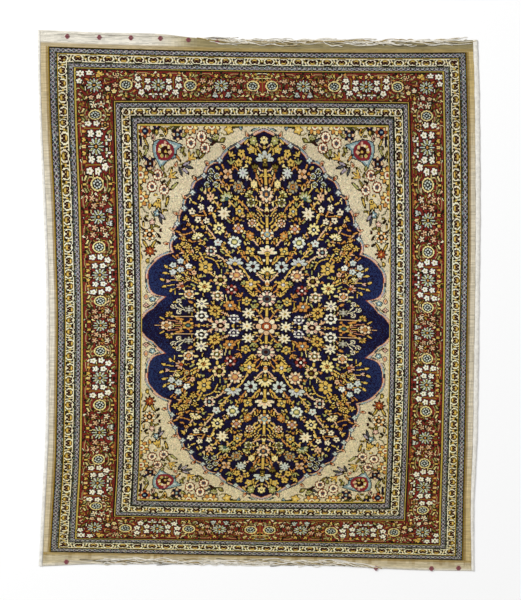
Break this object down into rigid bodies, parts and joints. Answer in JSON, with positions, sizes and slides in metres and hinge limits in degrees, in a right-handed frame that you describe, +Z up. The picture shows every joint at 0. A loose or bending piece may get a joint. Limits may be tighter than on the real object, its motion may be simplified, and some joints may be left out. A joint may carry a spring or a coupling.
{
  "type": "hand-knotted medallion rug",
  "caption": "Small hand-knotted rug lying flat: dense pile with a lobed medallion, patterned borders, flat-woven ends, corded sides and loose warp fringes.",
  "frame": {"origin": "on the floor under the middle of the rug's box", "axes": "+Z up out of the pile, +Y along the rug towards its top end, +X across it to the right"},
  "size_m": [1.195, 1.4592, 0.0063],
  "materials": {
    "pile": "short dense knotted wool pile, matte with a faint sheen",
    "edge_cord": "white overcast wool cord, matte",
    "warp": "loose undyed warp thread, matte"
  },
  "bodies": {
    "root": {"rug_cloth": "pile", "selvage_left": "edge_cord", "selvage_right": "edge_cord", "fringe_top": "warp", "fringe_bottom": "warp"}
  },
  "joints": []
}
